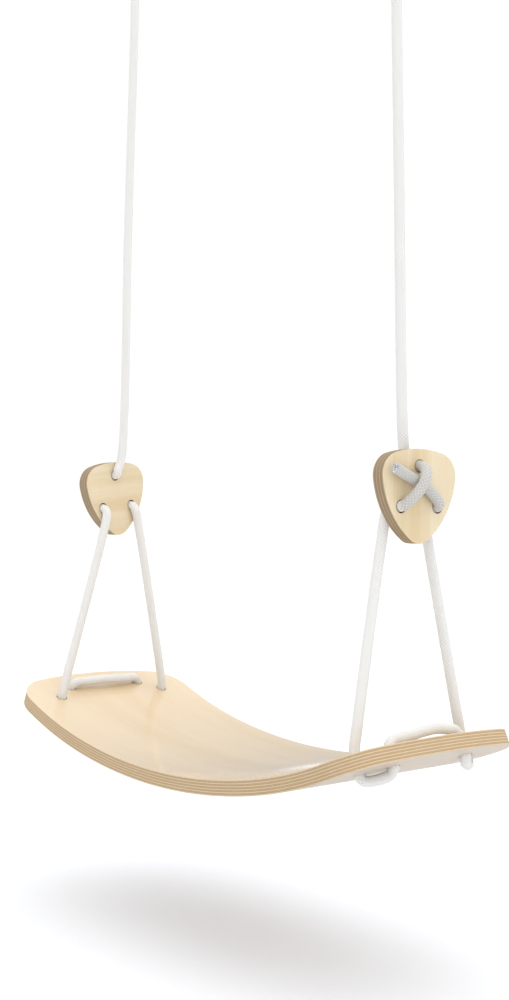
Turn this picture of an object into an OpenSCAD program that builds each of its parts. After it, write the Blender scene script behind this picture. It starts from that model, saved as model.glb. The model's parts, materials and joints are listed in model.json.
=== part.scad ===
// Hanging board swing: a curved plywood seat on two ropes, each with a plywood
// rope adjuster, hung from two ceiling brackets with bushed swing links and snap hooks.
// Millimetres. The origin is the middle of the ceiling face between the two brackets,
// +X runs along the seat, +Y to its back edge, +Z up, so the whole swing hangs below z = 0.

/* [Hang] */
// Height of the ceiling face above the lowest point of the seat's top face
drop = 1036; // [1000:1:1200]
// Distance of each bracket from the middle
hang_x = 208; // [190:1:230]

/* [Seat board] */
// Length of the board, measured along its curved top face
seat_len = 584; // [520:1:700]
// Width of the board
seat_w = 219; // [190:1:270]
// Thickness of the board
seat_t = 15; // [10:0.5:18]
// Radius of the top face in the middle stretch
mid_r = 725; // [600:5:900]
// Radius of the top face towards the ends
end_r = 560; // [480:5:590]
// Half length of the middle stretch, along the surface
mid_half = 140; // [100:5:180]
// How far the middle of each end stands out past its corners
end_bulge = 15; // [8:1:25]
// Radius of the four corners
corner_r = 40; // [15:1:50]

/* [Rope and rope holes] */
// Diameter of the rope
rope_d = 10; // [8:0.5:11]
// Room round the rope in a hole, all round
rope_room = 1; // [0.8:0.1:2]
// Distance of the outer pair of holes from the middle, along the surface
outer_s = 244; // [225:1:250]
// Distance of the outer pair of holes from the centre line
outer_y = 70; // [60:1:80]
// Distance of the inner pair of holes from the middle, along the surface
inner_s = 263; // [256:1:268]
// Distance of the inner pair of holes from the centre line
inner_y = 47; // [40:1:54]

/* [Rope adjuster] */
// Distance of the adjusters' middle plane from the middle of the swing
adj_x = 239; // [230:1:250]
// Height of the adjusters' top hole above the seat
adj_z = 298; // [290:1:310]
// Thickness of an adjuster
adj_t = 14.4; // [8:0.2:15]
// Distance of the top hole below the top edge
adj_top = 15.6; // [12:0.2:20]
// Distance of the two lower holes below the top hole
adj_row = 36.5; // [30:0.5:40]
// Distance of the lower holes from the centre line
adj_hole_y = 21.5; // [18:0.5:24]

/* [Ceiling bracket] */
// Length of the base plate
base_l = 100; // [90:1:130]
// Width of the base plate
base_w = 44; // [38:1:60]
// Thickness of the base plate and of the ears
plate_t = 4; // [3:0.5:6]
// Distance between the two screw holes
screw_gap = 76; // [60:1:82]
// Diameter of the screw holes
screw_d = 8.5; // [5:0.5:11]
// Depth of the pivot bolt below the ceiling
pivot_depth = 26; // [24:0.5:40]
// Room between the ears
ear_gap = 21; // [19:0.5:28]
// Width of an ear
ear_w = 30; // [28:1:36]
// Diameter of the pivot bolt
bolt_d = 10; // [8:0.5:12]
// Width of the bolt's head and of the nut, across flats
hex_flats = 17; // [15:0.5:19]

/* [Swing link] */
// Thickness of the link
link_t = 12; // [8:0.5:14]
// Distance between the link's two bores
link_len = 30; // [28:1:50]
// Outer diameter of the bushing that the link turns on
bushing_d = 16; // [14:0.5:18]
// Radius of the link round its pivot
link_top_r = 14; // [13:0.5:16]
// Radius of the link round its lower bore
link_low_r = 11; // [10:0.5:14]

/* [Snap hook] */
// Diameter of the hook's wire
wire_d = 7; // [6:0.5:7.5]
// Radius of the hook's two bends, to the middle of the wire
bend_r = 12; // [11:0.5:13]
// Height of the hook, between the middles of its wire
hook_h = 52; // [50:1:70]
// Diameter of the gate's pin
gate_pin_d = 2; // [1.5:0.1:2.5]

/* [Hidden] */
$fn = 120;
SLIDE = 0.05;              // radial clearance of a turning fit
GAP = 0.3;                 // clearance between pieces that pass each other
EDGE_STEPS = 10;           // points along each arc of an outline
WOOD = [0.90, 0.80, 0.62];
ROPE = [0.93, 0.92, 0.89];
STEEL = [0.72, 0.73, 0.75];
NYLON = [0.20, 0.21, 0.22];
hole_d = rope_d + 2 * rope_room;

// The seat's top face: a middle arc and a tighter arc at each end, tangent to it.
mid_angle = mid_half / mid_r * 180 / PI;
end_arc_x = (mid_r - end_r) * sin(mid_angle);
end_arc_z = mid_r - (mid_r - end_r) * cos(mid_angle);
SIDE_TURN = 6;             // how far round its corner an end's outline starts, in degrees
TUCK = 0.02;               // how far the ends' faces lie inside the middle stretch's faces
TUCK_ANGLE = 0.5;          // how far each end runs into the middle stretch, in degrees
function end_angle(s) = mid_angle + (s - mid_half) / end_r * 180 / PI;
tip_angle = end_angle(seat_len / 2);

// Heights of the hanging chain, from the ceiling down.
pivot_z = -pivot_depth;
link_bore_d = wire_d + 5;
hook_top = pivot_z - link_len;
hook_low = hook_top - hook_h;
gate_z = hook_low + bend_r + 4.5;
thimble_r = 9;                       // groove radius, where the rope lies
thimble_t = 1;
thimble_w = rope_d + 2 * GAP + 2 * thimble_t;
thimble_z = hook_low + bend_r - sqrt(pow(bend_r - wire_d / 2, 2) - pow(thimble_w / 2, 2))
    - thimble_r + thimble_t + SLIDE;   // its hole rests on the hook's lower bend
whip_low = -152;
whip_h = 16;

// Rope routes, as [x, y, height above the seat], drawn for the right side; the left side
// is the mirror image, apart from the stretch across the top of the seat. INTO_ADJUSTER,
// CROSSING and TAIL are drawn round an adjuster that stands square, and follow it as it hangs.
EYE = [[208, 5.3, 884], [208, 5.3, 901], [208, 9, 910], [208, 13.9, 920], [208, 14, 931],
       [208, 8.5, 938.8], [208, 0, 941.2], [208, -8.5, 938.8], [208, -14, 931],
       [208, -13.9, 920], [208, -9, 910], [208, -5.3, 901], [208, -5.3, 884]];
STANDING = [[208, -5.3, 883.5], [208, -5.2, 880.5], [208, -4, 875], [208.2, -0.8, 864],
            [208.6, 0, 852], [217.5, 0, 585], [226, 0, 320]];
INTO_ADJUSTER = [[226.2, 0, 304], [226.9, 0, 301.1], [229, 0, 299.1], [231.8, 0, 298.5], [238, 0, 298.2]];
CROSSING = [[239.6, 0, 298.2], [246, 0, 298.2], [252, -1, 297], [257.5, -3, 293.2], [261.3, -6, 287.5],
            [261.8, -9.5, 281.2], [259.5, -14, 273.8], [255, -18, 267.3], [250.5, -20.5, 263.3],
            [246, -21.5, 261.8], [239, -21.5, 261.5], [231.8, -21.5, 260.8], [229.2, -21.5, 260.1],
            [227, -21.6, 258.1], [226, -21.9, 255.5], [225.5, -23.3, 249.5]];
TAIL = [[226, 23.3, 249.5], [226.1, 21.9, 255.5], [227, 21.6, 258.1], [229.2, 21.5, 260.1],
        [231.8, 21.5, 260.8], [239, 21.5, 261.5], [246, 21.5, 261.7], [250, 19.8, 264],
        [251.6, 14.5, 269.7], [251.6, 6, 276.5], [251.4, -4, 282.5], [251.8, -14, 286.8]];
LONG_END = [[252.8, -25, 291], [254.5, -36, 295.5]];
SHORT_END = [[252.6, -23, 290.2], [253.4, -29, 292.6]];
FRONT_LEG = [[235.8, -66.5, 63.5], [236.7, -69.4, 49.8], [238.8, -70, 42.7]];
UNDER = [[238.8, -70, 42.7], [244.3, -70, 28.8], [245.5, -69.6, 26.1], [247.6, -67.7, 24.1],
         [250.6, -64, 23.8], [254, -59, 24.9], [257.2, -54, 26.7], [260, -50, 28.9],
         [261.7, -47.9, 32.3], [262.3, -47, 36.4], [256.3, -47, 50.1]];
TOP_RAISED = [[254.7, -45.8, 54], [253.9, -41.5, 56.6], [253.5, -30, 58.3], [252.6, -14, 59.3],
              [251.6, 4, 61], [251, 20, 61.5], [251.8, 33, 60], [253, 42, 58], [254.7, 45.8, 54]];
TOP_FLAT = [[254.7, -45.8, 54], [253.9, -41.5, 56], [253.4, -28, 56.8], [253, 0, 57.4],
            [253.4, 28, 56.8], [253.9, 41.5, 56], [254.7, 45.8, 54]];

// How each adjuster hangs: turned about a vertical line, its rear edge outwards, the left one
// rolled with its rear edge up, and its top hole a little in front of or behind the rope's line.
ADJ_TURN = 6;
LEFT_ROLL = 6;
ADJ_HOLE = [239, 0, 298];
function roll_of(side) = side > 0 ? 0 : LEFT_ROLL;
function shift_of(side) = [0, side > 0 ? 1.5 : -5.5, 0];
function turned(p, side) = let (r = roll_of(side), y = p[1] * cos(r) - p[2] * sin(r),
                                z = p[1] * sin(r) + p[2] * cos(r))
    [p[0] * cos(ADJ_TURN) + y * sin(ADJ_TURN), y * cos(ADJ_TURN) - p[0] * sin(ADJ_TURN), z];
function held(points, side) = [for (p = points) ADJ_HOLE + shift_of(side) + turned(p - ADJ_HOLE, side)];
function tail(side) = concat(TAIL, side > 0 ? LONG_END : SHORT_END);
function standing(side) = concat(STANDING, held(INTO_ADJUSTER, side));

function flip_y(points) = [for (p = points) [p[0], -p[1], p[2]]];
function backwards(points) = [for (i = [len(points) - 1:-1:0]) points[i]];
// The first ring of a leg, just clear of the rope that comes out of the adjuster.
function leg_top(end, next) = end + LEG_GAP * (next - end) / norm(next - end);
LEG_GAP = 1.3;
function front_leg(side) = let (end = held([CROSSING[len(CROSSING) - 1]], side)[0])
    concat([leg_top(end, FRONT_LEG[0])], FRONT_LEG);
function rear_leg(side) = let (end = held([TAIL[0]], side)[0], low = flip_y(FRONT_LEG))
    concat([leg_top(end, low[0])], low);
function stitch(top) = concat(UNDER, top, backwards(flip_y(UNDER)));

// ---- helpers ----

// Points of an arc, angles in degrees.
function arc(centre, r, from, to) = [for (i = [0:EDGE_STEPS])
    let (a = from + (to - from) * i / EDGE_STEPS) centre + r * [cos(a), sin(a)]];
function mirrored(points) = [for (i = [len(points) - 1:-1:0]) [-points[i][0], points[i][1]]];

// A cylinder along X, centred on the origin.
module rod_x(d, h) { rotate([0, 90, 0]) cylinder(d = d, h = h, center = true); }
// A flat shape drawn in the Y-Z plane, given a thickness along X.
module plate_x(t) { rotate([90, 0, 90]) linear_extrude(t, center = true) children(); }

// The direction u, made square to the way that the rope runs.
function square_to(way, u) = let (flat = u - (u * way) * way) flat / norm(flat);

// A round rope swept along a list of points, with its rings carried on without a twist.
module rope(points, sides = 10) {
    last = len(points) - 1;
    places = [for (p = points) [p[0], p[1], p[2] - drop]];
    ways = [for (i = [0:last]) let (d = places[min(i + 1, last)] - places[max(i - 1, 0)]) d / norm(d)];
    us = [for (i = 0, u = square_to(ways[0], [0.36, 0.48, 0.8]); i <= last;
               i = i + 1, u = square_to(ways[min(i, last)], u)) u];
    corners = [for (i = [0:last]) for (k = [0:sides - 1])
        places[i] + rope_d / 2 * (us[i] * cos(360 * k / sides) + cross(ways[i], us[i]) * sin(360 * k / sides))];
    walls = [for (i = [0:last - 1]) for (k = [0:sides - 1])
        [i * sides + k, (i + 1) * sides + k, (i + 1) * sides + (k + 1) % sides, i * sides + (k + 1) % sides]];
    color(ROPE) polyhedron(corners, concat([[for (k = [0:sides - 1]) k]], walls,
                                           [[for (k = [sides - 1:-1:0]) last * sides + k]]));
}

// Puts a piece drawn for the right side on that side, or its mirror image on the left.
module on_side(side) {
    if (side > 0) children();
    else mirror([1, 0, 0]) children();
}

// ---- seat ----

// A stretch of an over-wide bent board round one arc, from one angle to another, measured from
// straight down, with its two faces set in by a hair.
module bent(r, from, to, inset = 0) {
    rotate([90, 0, 0]) rotate([0, 0, from - 90]) rotate_extrude(angle = to - from)
        translate([r + inset, -seat_w]) square([seat_t - 2 * inset, 2 * seat_w]);
}

// The outline of an end seen square to the board: its middle at the origin, the board at -x.
module end_outline(length) {
    bulge_r = (pow(seat_w / 2, 2) + pow(end_bulge, 2)) / (2 * end_bulge);
    corner_y = seat_w / 2 - corner_r;
    corner_x = sqrt(pow(bulge_r - corner_r, 2) - pow(corner_y, 2)) - bulge_r;
    turn = asin(corner_y / (bulge_r - corner_r));
    polygon(concat([[-length, -seat_w], [corner_x, -seat_w]], arc([corner_x, -corner_y], corner_r, SIDE_TURN - 90, -turn),
                   arc([-bulge_r, 0], bulge_r, -turn, turn),
                   arc([corner_x, corner_y], corner_r, turn, 90 - SIDE_TURN),
                   [[corner_x, seat_w], [-length, seat_w]]));
}

// Moves to the point of the top face at distance s along it, with Z square to the face.
module at_surface(s, y) {
    translate([end_arc_x, y, end_arc_z]) rotate([0, -end_angle(s), 0]) translate([0, 0, -end_r]) children();
}

// What is cut away from a straight strip to leave an end.
module end_waste() {
    at_surface(seat_len / 2, 0) translate([0, 0, -3 * seat_t]) linear_extrude(6 * seat_t) difference() {
        translate([-3 * corner_r, -seat_w]) square([6 * corner_r, 2 * seat_w]);
        end_outline(4 * corner_r);
    }
}

module rope_hole() { translate([0, 0, -1.5 * seat_t]) cylinder(d = hole_d, h = 2 * seat_t); }

module end_cuts() {
    end_waste();
    for (y = [-outer_y, outer_y]) at_surface(outer_s, y) rope_hole();
    for (y = [-inner_y, inner_y]) at_surface(inner_s, y) rope_hole();
}

module seat_board() {
    color(WOOD) translate([0, 0, -drop]) difference() {
        intersection() {
            union() {
                translate([0, 0, mid_r]) bent(mid_r, -mid_angle, mid_angle);
                translate([end_arc_x, 0, end_arc_z]) bent(end_r, mid_angle - TUCK_ANGLE, tip_angle + 3, TUCK);
                translate([-end_arc_x, 0, end_arc_z]) bent(end_r, -tip_angle - 3, TUCK_ANGLE - mid_angle, TUCK);
            }
            translate([-seat_len, -seat_w / 2, -seat_len]) cube([2 * seat_len, seat_w, 2 * seat_len]);
        }
        end_cuts();
        rotate([0, 0, 180]) end_cuts();
    }
}

// ---- rope adjuster ----

// A rounded triangle, point down, with its top hole at the origin.
module adjuster_outline() {
    shoulder = [22, adj_top - 24];
    shoulder_r = 21;
    nose = [0, adj_top - 68.5];
    nose_r = 17;
    flank_r = 80;
    crown = [0, adj_top - 103.2];
    crown_r = 103.2;
    reach = norm(shoulder - nose);
    near = flank_r - shoulder_r;
    far = flank_r - nose_r;
    along = (near * near - far * far + reach * reach) / (2 * reach);
    way = (nose - shoulder) / reach;
    flank = shoulder + along * way + sqrt(near * near - along * along) * [way[1], -way[0]];
    crown_turn = atan2(shoulder[1] - crown[1], shoulder[0]);
    upper_turn = atan2(shoulder[1] - flank[1], shoulder[0] - flank[0]);
    lower_turn = atan2(nose[1] - flank[1], nose[0] - flank[0]);
    half = concat(arc(nose, nose_r, -90, lower_turn), arc(flank, flank_r, lower_turn, upper_turn),
                  arc(shoulder, shoulder_r, upper_turn, crown_turn), arc(crown, crown_r, crown_turn, 90));
    polygon(concat(half, mirrored(half)));
}

module adjuster(side) {
    on_side(side) color(WOOD) translate(shift_of(side) + [adj_x, 0, adj_z - drop]) rotate([roll_of(side), 0, 0])
        rotate([0, 0, -ADJ_TURN]) difference() {
        plate_x(adj_t) adjuster_outline();
        rod_x(hole_d, 2 * adj_t);
        for (y = [-adj_hole_y, adj_hole_y]) translate([0, y, -adj_row]) rod_x(hole_d, 2 * adj_t);
    }
}

// ---- ceiling bracket ----

module bracket(side) {
    on_side(side) color(STEEL) translate([hang_x, 0, 0]) difference() {
        union() {
            translate([-base_w / 2, -base_l / 2, -plate_t]) cube([base_w, base_l, plate_t]);
            for (x = [-1, 1]) translate([x * (ear_gap + plate_t) / 2, 0, pivot_z]) {
                rod_x(ear_w, plate_t);
                translate([-plate_t / 2, -ear_w / 2, 0]) cube([plate_t, ear_w, pivot_depth - plate_t / 2]);
            }
        }
        for (y = [-screw_gap / 2, screw_gap / 2]) translate([0, y, -2 * plate_t]) cylinder(d = screw_d, h = 3 * plate_t);
        translate([0, 0, pivot_z]) rod_x(bolt_d + 2 * SLIDE, 3 * ear_gap);
    }
}

half_grip = ear_gap / 2 + plate_t;
module pivot_bolt(side) {
    head_t = 6.4;
    tip = half_grip + 12;
    on_side(side) color(STEEL) translate([hang_x, 0, pivot_z]) {
        translate([(tip - half_grip) / 2, 0, 0]) rod_x(bolt_d, tip + half_grip);
        translate([-half_grip - head_t / 2, 0, 0]) hex(head_t);
    }
}
module pivot_nut(side) {
    nut_t = 9.5;
    on_side(side) color(STEEL) translate([hang_x + half_grip + nut_t / 2, 0, pivot_z]) difference() {
        hex(nut_t);
        rod_x(bolt_d + 2 * SLIDE, 2 * nut_t);
    }
}
// A hexagonal block along X.
module hex(t) { rotate([0, 90, 0]) cylinder(d = hex_flats / cos(30), h = t, center = true, $fn = 6); }

module bushing(side) {
    on_side(side) color(NYLON) translate([hang_x, 0, pivot_z]) difference() {
        rod_x(bushing_d, ear_gap);
        rod_x(bolt_d + 2 * SLIDE, 2 * ear_gap);
    }
}

// A washer on each side of the link keeps it in the middle.
module spacers(side) {
    t = (ear_gap - link_t) / 2 - GAP / 2;
    on_side(side) color(NYLON) for (x = [-1, 1])
        translate([hang_x + x * (ear_gap - t) / 2, 0, pivot_z]) difference() {
            rod_x(bushing_d + 8, t);
            rod_x(bushing_d + 2 * SLIDE, 2 * t);
        }
}

// ---- swing link, snap hook and thimble ----

module link(side) {
    on_side(side) color(STEEL) translate([hang_x, 0, pivot_z]) difference() {
        union() {
            rod_x(2 * link_top_r, link_t);
            translate([0, 0, -link_len]) rod_x(2 * link_low_r, link_t);
            plate_x(link_t) polygon([[-link_top_r, 0], [-link_low_r, -link_len], [link_low_r, -link_len], [link_top_r, 0]]);
        }
        rod_x(bushing_d + 2 * SLIDE, 2 * link_t);
        translate([0, 0, -link_len]) rod_x(link_bore_d, 2 * link_t);
    }
}

// A half ring of wire in the X-Z plane, open downwards.
module wire_bend() { rotate([90, 0, 0]) rotate_extrude(angle = 180) translate([bend_r, 0]) circle(d = wire_d); }

tongue_t = 3;
module hook(side) {
    on_side(side) color(STEEL) translate([hang_x, 0, 0]) difference() {
        union() {
            translate([0, 0, hook_top - bend_r]) wire_bend();
            translate([0, 0, hook_low + bend_r]) mirror([0, 0, 1]) wire_bend();
            translate([-bend_r, 0, hook_low + bend_r]) cylinder(d = wire_d, h = hook_h - 2 * bend_r);
            translate([bend_r, 0, gate_z]) rotate([90, 0, 0]) cylinder(d = 6, h = tongue_t, center = true);
            translate([bend_r - 3, -tongue_t / 2, hook_low + bend_r - 1]) cube([6, tongue_t, gate_z - hook_low - bend_r + 1]);
        }
        gate_pin_bore();
    }
}
module gate_pin_bore() {
    translate([bend_r, 0, gate_z]) rotate([90, 0, 0]) cylinder(d = gate_pin_d + 2 * SLIDE, h = 2 * wire_d, center = true);
}

// The gate closes the hook's open side and turns inwards on its pin.
module gate(side) {
    top = hook_top - bend_r - 2 * GAP;
    foot_r = gate_z - hook_low - bend_r - GAP;
    on_side(side) color(STEEL) translate([hang_x, 0, 0]) difference() {
        intersection() {
            translate([bend_r, 0, gate_z - foot_r]) cylinder(d = wire_d, h = top - gate_z + foot_r);
            translate([bend_r, 0, gate_z]) union() {
                rotate([90, 0, 0]) cylinder(r = foot_r, h = 2 * wire_d, center = true);
                translate([-wire_d, -wire_d, 0]) cube([2 * wire_d, 2 * wire_d, hook_h]);
            }
        }
        translate([bend_r - wire_d, -tongue_t / 2 - GAP, gate_z - 2 * foot_r]) cube([2 * wire_d, tongue_t + 2 * GAP, 2 * foot_r + 4]);
        gate_pin_bore();
    }
}

module gate_pin(side) {
    on_side(side) color(STEEL) translate([hang_x + bend_r, 0, gate_z]) rotate([90, 0, 0])
        cylinder(d = gate_pin_d, h = wire_d - 2 * GAP, center = true);
}

// A round steel eye with a groove that the rope lies in.
module thimble(side) {
    groove_w = thimble_w - 2 * thimble_t;
    on_side(side) color(STEEL) translate([hang_x, 0, thimble_z]) rotate([0, 90, 0]) rotate_extrude() difference() {
        translate([thimble_r - thimble_t, -thimble_w / 2]) square([4 + thimble_t, thimble_w]);
        translate([thimble_r - GAP, -groove_w / 2]) square([4 + GAP + 1, groove_w]);
    }
}

// Twine wound round both legs of the rope eye.
module whipping(side) {
    wall = 1.6;
    legs = 5.3;
    room = rope_d / 2 + GAP / 2;
    on_side(side) color(ROPE) translate([hang_x, 0, whip_low]) difference() {
        linear_extrude(whip_h) rounded_slot(legs, room + wall);
        translate([0, 0, -1]) linear_extrude(whip_h + 2) rounded_slot(legs, room);
    }
}
// A slot with round ends along Y, half as long between its end centres as reach says twice.
module rounded_slot(reach, r) {
    translate([-r, -reach]) square([2 * r, 2 * reach]);
    for (y = [-reach, reach]) translate([0, y]) circle(r);
}

// ---- the nodes ----

seat_board();
bracket(1);  // right_bracket
pivot_bolt(1);  // right_pivot_bolt
pivot_nut(1);  // right_pivot_nut
bushing(1);  // right_bushing
spacers(1);  // right_spacers
link(1);  // right_link
hook(1);  // right_hook
gate(1);  // right_gate
gate_pin(1);  // right_gate_pin
thimble(1);  // right_thimble
whipping(1);  // right_whipping
on_side(1) rope(EYE);  // right_rope_eye
on_side(1) rope(standing(1));  // right_standing_rope
adjuster(1);  // right_adjuster
on_side(1) rope(held(CROSSING, 1));  // right_crossing_rope
on_side(1) rope(held(tail(1), 1));  // right_tail_rope
on_side(1) rope(front_leg(1));  // right_front_leg
on_side(1) rope(rear_leg(1));  // right_rear_leg
on_side(1) rope(stitch(TOP_RAISED));  // right_stitch
bracket(-1);  // left_bracket
pivot_bolt(-1);  // left_pivot_bolt
pivot_nut(-1);  // left_pivot_nut
bushing(-1);  // left_bushing
spacers(-1);  // left_spacers
link(-1);  // left_link
hook(-1);  // left_hook
gate(-1);  // left_gate
gate_pin(-1);  // left_gate_pin
thimble(-1);  // left_thimble
whipping(-1);  // left_whipping
on_side(-1) rope(EYE);  // left_rope_eye
on_side(-1) rope(standing(-1));  // left_standing_rope
adjuster(-1);  // left_adjuster
on_side(-1) rope(held(CROSSING, -1));  // left_crossing_rope
on_side(-1) rope(held(tail(-1), -1));  // left_tail_rope
on_side(-1) rope(front_leg(-1));  // left_front_leg
on_side(-1) rope(rear_leg(-1));  // left_rear_leg
on_side(-1) rope(stitch(TOP_FLAT));  // left_stitch
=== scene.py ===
# %% [markdown]
# # A hanging board swing
# A swing of this kind is a strip of bent plywood on two cotton ropes. Each rope is threaded
# through a small three-hole plywood adjuster, which grips it and sets the height of the seat.
# Overhead, each rope ends in an eye round a steel thimble, on a snap hook and a bushed link.
# The measured solids come first, as a fixed frame; all that follows is dressed over them.

# %% Load the frame
import json
import math

import bmesh
import bpy
from mathutils import Matrix, Vector

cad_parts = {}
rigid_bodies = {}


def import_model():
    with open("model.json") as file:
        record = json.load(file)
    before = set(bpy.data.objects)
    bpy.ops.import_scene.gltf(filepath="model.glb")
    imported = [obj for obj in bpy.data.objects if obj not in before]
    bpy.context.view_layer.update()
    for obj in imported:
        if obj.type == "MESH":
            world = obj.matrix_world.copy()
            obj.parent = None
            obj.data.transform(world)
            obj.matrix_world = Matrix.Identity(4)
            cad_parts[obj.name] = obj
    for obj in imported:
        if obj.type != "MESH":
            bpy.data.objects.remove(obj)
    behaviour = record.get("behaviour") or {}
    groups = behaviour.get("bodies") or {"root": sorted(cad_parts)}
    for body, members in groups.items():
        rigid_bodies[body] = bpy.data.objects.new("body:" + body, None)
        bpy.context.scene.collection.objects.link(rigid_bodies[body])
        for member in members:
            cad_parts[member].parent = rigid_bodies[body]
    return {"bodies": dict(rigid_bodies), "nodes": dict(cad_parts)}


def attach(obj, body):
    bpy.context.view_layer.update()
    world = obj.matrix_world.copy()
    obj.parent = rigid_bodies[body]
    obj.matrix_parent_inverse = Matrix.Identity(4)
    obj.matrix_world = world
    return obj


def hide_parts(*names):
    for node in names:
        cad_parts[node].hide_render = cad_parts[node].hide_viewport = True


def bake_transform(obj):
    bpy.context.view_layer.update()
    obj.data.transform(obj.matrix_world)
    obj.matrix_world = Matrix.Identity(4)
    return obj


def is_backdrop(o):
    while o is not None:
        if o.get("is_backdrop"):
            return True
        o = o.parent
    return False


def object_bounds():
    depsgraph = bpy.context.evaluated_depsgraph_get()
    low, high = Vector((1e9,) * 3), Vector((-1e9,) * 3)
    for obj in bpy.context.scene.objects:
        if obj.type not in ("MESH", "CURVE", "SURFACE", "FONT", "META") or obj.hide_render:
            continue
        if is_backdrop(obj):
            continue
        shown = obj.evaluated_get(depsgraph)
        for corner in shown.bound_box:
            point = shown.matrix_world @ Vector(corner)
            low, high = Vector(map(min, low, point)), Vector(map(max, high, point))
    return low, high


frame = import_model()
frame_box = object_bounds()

print("bodies:", sorted(frame["bodies"]))
print("nodes:", len(frame["nodes"]))

# %% [markdown]
# ## The camera
# A real camera is a point, a direction, a tilt and a lens. It could be aimed with a Track To
# constraint, but a constraint leaves nothing to read afterwards. Here the three axes of the
# camera are worked out from two angles and a small roll, and go straight into its matrix.

# %% Camera
CAMERA_PLACE = Vector((1.0557, -0.8752, -0.7853))
CAMERA_TURN = math.radians(49.893)
CAMERA_RISE = math.radians(0.748)
CAMERA_ROLL = math.radians(0.543)
CAMERA_LENS_MM = 47.43


def camera_axes(turn, rise, roll):
    """The camera's right, up and backward directions."""
    ahead = Vector((-math.sin(turn) * math.cos(rise), math.cos(turn) * math.cos(rise), math.sin(rise)))
    level = Vector((math.cos(turn), math.sin(turn), 0))
    right = level * math.cos(roll) + level.cross(ahead) * math.sin(roll)
    return right, ahead.cross(-right), -ahead


camera_data = bpy.data.cameras.new("camera")
camera_data.lens = CAMERA_LENS_MM
camera_data.sensor_width = 36.0
camera = bpy.data.objects.new("camera", camera_data)
bpy.context.scene.collection.objects.link(camera)
axes = camera_axes(CAMERA_TURN, CAMERA_RISE, CAMERA_ROLL)
camera.matrix_world = Matrix.Translation(CAMERA_PLACE) @ Matrix(axes).transposed().to_4x4()
bpy.context.scene.camera = camera
print("camera looks along", tuple(round(-c, 3) for c in axes[2]))

# %% [markdown]
# ## The way the ropes run
# Each side has one rope. From the whipping it goes round the thimble and back, down to the
# adjuster, in through the top hole, across, in through a lower hole and down to the seat. There it
# dips under the board, comes up, crosses the top as one long stitch, dips again and climbs
# back to the other lower hole, and ends in a tail held down by the crossing strand.
# The route is a few given points, the same ones that the solids follow. They are drawn
# for the right side, as heights above the seat, and the left side is their mirror image.

# %% Points of the route
DROP = 1.036
ROPE_D = 0.010
EYE = [(.208, .0053, .884), (.208, .0053, .901), (.208, .009, .910), (.208, .0139, .920),
       (.208, .014, .931), (.208, .0085, .9388), (.208, 0, .9412), (.208, -.0085, .9388),
       (.208, -.014, .931), (.208, -.0139, .920), (.208, -.009, .910), (.208, -.0053, .901),
       (.208, -.0053, .884)]
STANDING = [(.208, -.0052, .8805), (.208, -.004, .875), (.2082, -.0008, .864),
            (.2086, 0, .852), (.2175, 0, .585), (.226, 0, .320)]
INTO_ADJUSTER = [(.2262, 0, .304), (.2269, 0, .3011), (.229, 0, .2991), (.2318, 0, .2985), (.238, 0, .2982)]
CROSSING = [(.2396, 0, .2982), (.246, 0, .2982), (.252, -.001, .297), (.2575, -.003, .2932),
            (.2613, -.006, .2875), (.2618, -.0095, .2812), (.2595, -.014, .2738), (.255, -.018, .2673),
            (.2505, -.0205, .2633), (.246, -.0215, .2618), (.239, -.0215, .2615),
            (.2318, -.0215, .2608), (.2292, -.0215, .2601), (.227, -.0216, .2581),
            (.226, -.0219, .2555), (.2255, -.0233, .2495)]
TAIL = [(.226, .0233, .2495), (.2261, .0219, .2555), (.227, .0216, .2581), (.2292, .0215, .2601),
        (.2318, .0215, .2608), (.239, .0215, .2615), (.246, .0215, .2617), (.250, .0198, .264),
        (.2516, .0145, .2697), (.2516, .006, .2765), (.2514, -.004, .2825), (.2518, -.014, .2868)]
TAIL_END = {"right": [(.2528, -.025, .291), (.2545, -.036, .2955)],
            "left": [(.2526, -.023, .2902), (.2534, -.029, .2926)]}
FRONT_LEG = [(.2358, -.0665, .0635), (.2367, -.0694, .0498), (.2388, -.070, .0427)]
UNDER = [(.2388, -.070, .0427), (.2443, -.070, .0288), (.2455, -.0696, .0261), (.2476, -.0677, .0241),
         (.2506, -.064, .0238), (.254, -.059, .0249), (.2572, -.054, .0267), (.260, -.050, .0289),
         (.2617, -.0479, .0323), (.2623, -.047, .0364), (.2563, -.047, .0501)]
TOP_RAISED = [(.2547, -.0458, .054), (.2539, -.0415, .0566), (.2535, -.030, .0583),
              (.2526, -.014, .0593), (.2516, .004, .061), (.251, .020, .0615), (.2518, .033, .060),
              (.253, .042, .058), (.2547, .0458, .054)]
TOP_FLAT = [(.2547, -.0458, .054), (.2539, -.0415, .056), (.2534, -.028, .0568), (.253, 0, .0574),
            (.2534, .028, .0568), (.2539, .0415, .056), (.2547, .0458, .054)]

# %% [markdown]
# The adjusters hang a little turned and a little off the rope's line, and the left one has rolled
# a few degrees. The strands on an adjuster follow it, so `held` moves their points with it.

# %% Place the route
SIDES = {"right": 1, "left": -1}
ADJUSTER_HOLE = Vector((.239, 0, .298))
ADJUSTER_TURN = math.radians(6)
ADJUSTER_ROLL = {"right": 0.0, "left": math.radians(6)}
ADJUSTER_SHIFT = {"right": Vector((0, .0015, 0)), "left": Vector((0, -.0055, 0))}


def adjuster_matrix(side):
    """From a square adjuster round its top hole to how it hangs, before any mirroring."""
    tilt = Matrix.Rotation(ADJUSTER_ROLL[side], 4, "X") @ Matrix.Rotation(-ADJUSTER_TURN, 4, "Z")
    return Matrix.Translation(ADJUSTER_HOLE + ADJUSTER_SHIFT[side]) @ tilt


def held(points, side):
    move = adjuster_matrix(side) @ Matrix.Translation(-ADJUSTER_HOLE)
    return [tuple(move @ Vector(p)) for p in points]


def flip_y(points):
    return [(x, -y, z) for x, y, z in points]


def in_row(points, side):
    """Points on their own side, measured from the ceiling."""
    return [Vector((SIDES[side] * x, y, z - DROP)) for x, y, z in points]


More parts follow.
